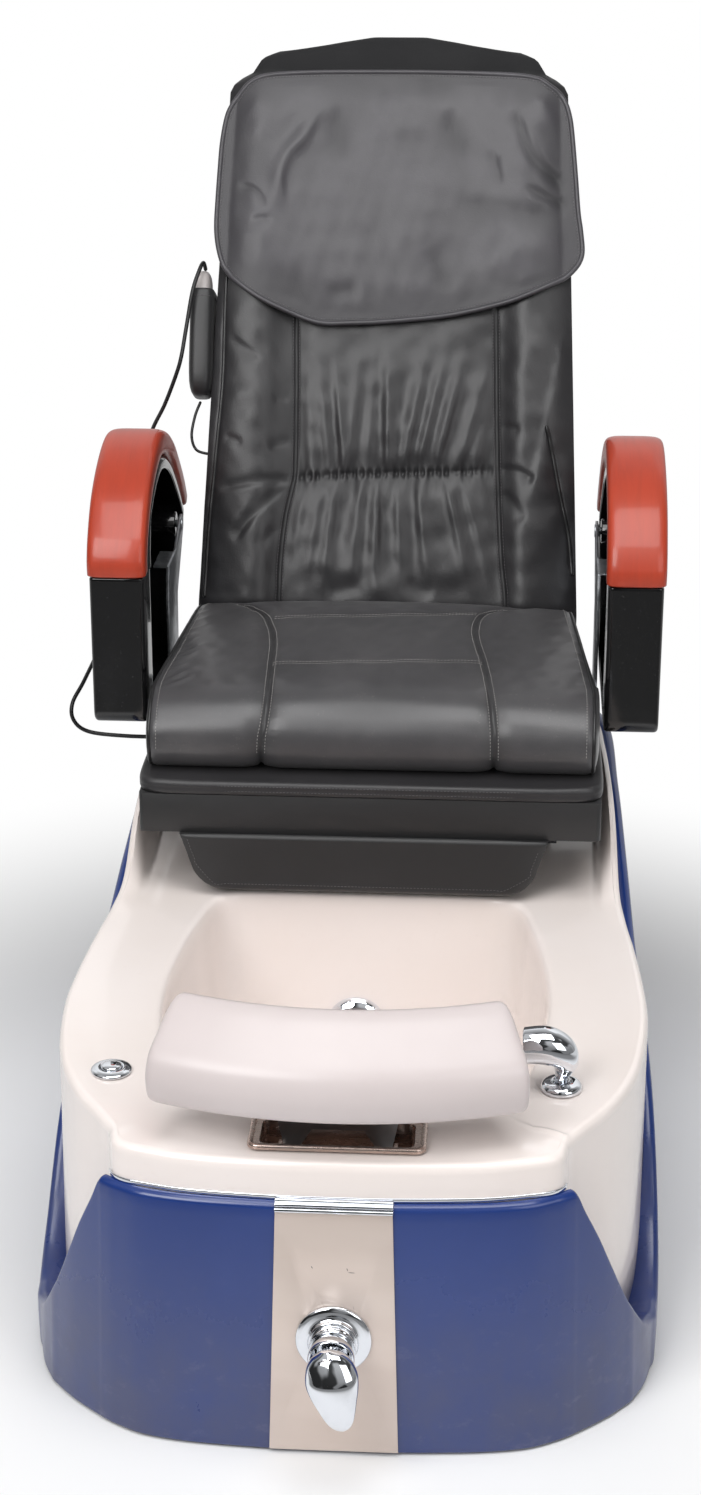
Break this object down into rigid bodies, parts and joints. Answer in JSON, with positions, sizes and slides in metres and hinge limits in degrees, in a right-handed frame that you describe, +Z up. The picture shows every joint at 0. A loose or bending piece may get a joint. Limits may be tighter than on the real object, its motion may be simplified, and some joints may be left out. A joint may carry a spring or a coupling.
{
  "type": "pedicure spa chair",
  "caption": "Pedicure spa chair: reclining massage seat on rails over a foot basin with jet, hand spray, footrest and lift-up arms",
  "frame": {"origin": "on the floor, under the middle of the chair's overall width and length with the backrest at rest", "axes": "+Z up, +Y from the footrest towards the backrest, +X to the right of someone facing the chair"},
  "size_m": [0.7948, 1.6251, 1.3523],
  "materials": {
    "shell_blue": "gloss",
    "tub_white": "gloss",
    "stainless": "brushed",
    "chrome": "polished",
    "brass": "cast and turned",
    "black_plastic": "moulded",
    "pipe_grey": "extruded",
    "frame_paint": "powder coat",
    "rubber": "moulded",
    "galvanised": "zinc plated",
    "hose_grey": "braided",
    "hose_clear": "soft tube",
    "pad_white": "satin skin",
    "leather_fascia": "smooth",
    "leather_black": "fine grain",
    "black_gloss": "gloss",
    "pad_red": "lacquered",
    "remote_grey": "fine texture",
    "cord_black": "satin"
  },
  "bodies": {
    "base": {"base_shell": "shell_blue", "tub": "tub_white", "front_panel": "stainless", "panel_cap": "chrome", "nose_trim": "chrome", "valve_escutcheon": "chrome", "valve_sleeve": "chrome", "valve_body": "brass", "footrest_well": "stainless", "footrest_pin": "stainless", "air_button_bezel": "chrome", "spray_collar": "chrome", "jet_cover": "chrome", "jet_pump": "black_plastic", "drain_strainer": "chrome", "drain_pipe": "pipe_grey", "base_frame": "frame_paint", "levelling_feet": "rubber", "seat_rails": "galvanised", "control_box": "black_plastic", "supply_hoses": "hose_grey", "air_tube": "hose_clear"},
    "air_button": {"air_button": "chrome"},
    "valve_stem": {"valve_stem": "brass"},
    "valve_lever": {"valve_lever": "chrome"},
    "hand_spray": {"spray_head": "chrome", "spray_hose": "stainless"},
    "footrest": {"footrest_bracket": "stainless", "footrest_pad": "pad_white"},
    "impeller": {"jet_impeller": "black_plastic"},
    "seat": {"rail_carriages": "galvanised", "seat_frame": "frame_paint", "deck_board": "leather_fascia", "deck_upholstery": "leather_black", "skirt": "leather_fascia", "seat_cushion": "leather_black", "arm_bracket_left": "galvanised", "arm_bracket_right": "galvanised", "back_hinge_pin": "galvanised", "recline_actuator": "black_plastic"},
    "actuator_rod": {"actuator_rod": "stainless"},
    "arm_left": {"arm_shell_left": "black_gloss", "arm_pad_left": "pad_red"},
    "arm_right": {"arm_shell_right": "black_gloss", "arm_pad_right": "pad_red"},
    "back": {"back_frame": "frame_paint", "back_shell": "black_gloss", "back_cushion": "leather_black", "head_flap": "leather_black", "remote_pouch": "leather_fascia", "remote_cord": "cord_black", "pouch_tie": "cord_black"},
    "massage_carriage": {"massage_carriage": "galvanised"},
    "massage_rollers": {"massage_rollers": "rubber"},
    "remote": {"remote": "remote_grey"}
  },
  "joints": [
    {"name": "air_button_press", "type": "slide", "parent": "base", "child": "air_button", "axis": [0, 0, -1], "range_m": [0, 0.003], "stiffness_N_per_m": 900, "springref_m": -0.0005},
    {"name": "valve_turn", "type": "hinge", "parent": "base", "child": "valve_stem", "pos_m": [0, -0.78522, 0.1458], "axis": [0, -0.9995, 0.033], "range_deg": [-50, 60]},
    {"name": "valve_lift", "type": "hinge", "parent": "valve_stem", "child": "valve_lever", "pos_m": [0, -0.78522, 0.1458], "axis": [-0.9744, 0, -0.225], "range_deg": [0, 18]},
    {"name": "spray_pull", "type": "slide", "parent": "base", "child": "hand_spray", "axis": [0, 0, 1], "range_m": [0, 0.16]},
    {"name": "footrest_tilt", "type": "hinge", "parent": "base", "child": "footrest", "pos_m": [0, -0.654, 0.326], "axis": [1, 0, 0], "range_deg": [-12, 30]},
    {"name": "jet_spin", "type": "hinge", "parent": "base", "child": "impeller", "pos_m": [-0.015, -0.07379, 0.184], "axis": [0, -0.9962, 0.0875], "continuous": true},
    {"name": "seat_slide", "type": "slide", "parent": "base", "child": "seat", "axis": [0, 1, 0], "range_m": [-0.1, 0.03]},
    {"name": "back_recline", "type": "hinge", "parent": "seat", "child": "back", "pos_m": [0, 0.45035, 0.54664], "axis": [-1, 0, 0], "range_deg": [0, 28], "deforming": ["remote_cord", "pouch_tie"]},
    {"name": "actuator_travel", "type": "slide", "parent": "seat", "child": "actuator_rod", "axis": [0, 1, 0], "range_m": [-0.0378, 0.0005]},
    {"name": "arm_lift_left", "type": "hinge", "parent": "seat", "child": "arm_left", "pos_m": [-0.331, 0.396, 0.72], "axis": [-1, 0, 0], "range_deg": [0, 52], "deforming": ["remote_cord", "pouch_tie"]},
    {"name": "arm_lift_right", "type": "hinge", "parent": "seat", "child": "arm_right", "pos_m": [0.331, 0.396, 0.72], "axis": [-1, 0, 0], "range_deg": [0, 52]},
    {"name": "massage_travel", "type": "slide", "parent": "back", "child": "massage_carriage", "axis": [0, 0.3746, 0.9272], "range_m": [-0.2, 0.28]},
    {"name": "roller_spin", "type": "hinge", "parent": "massage_carriage", "child": "massage_rollers", "pos_m": [0, 0.58963, 0.87001], "axis": [1, 0, 0], "continuous": true},
    {"name": "remote_out", "type": "slide", "parent": "back", "child": "remote", "axis": [0, 0.3746, 0.9272], "range_m": [0, 0.14], "deforming": ["remote_cord", "pouch_tie"]}
  ],
  "couplings": [
    {"joint": "actuator_travel", "follows": "back_recline", "m_per_rad": -0.07525}
  ]
}
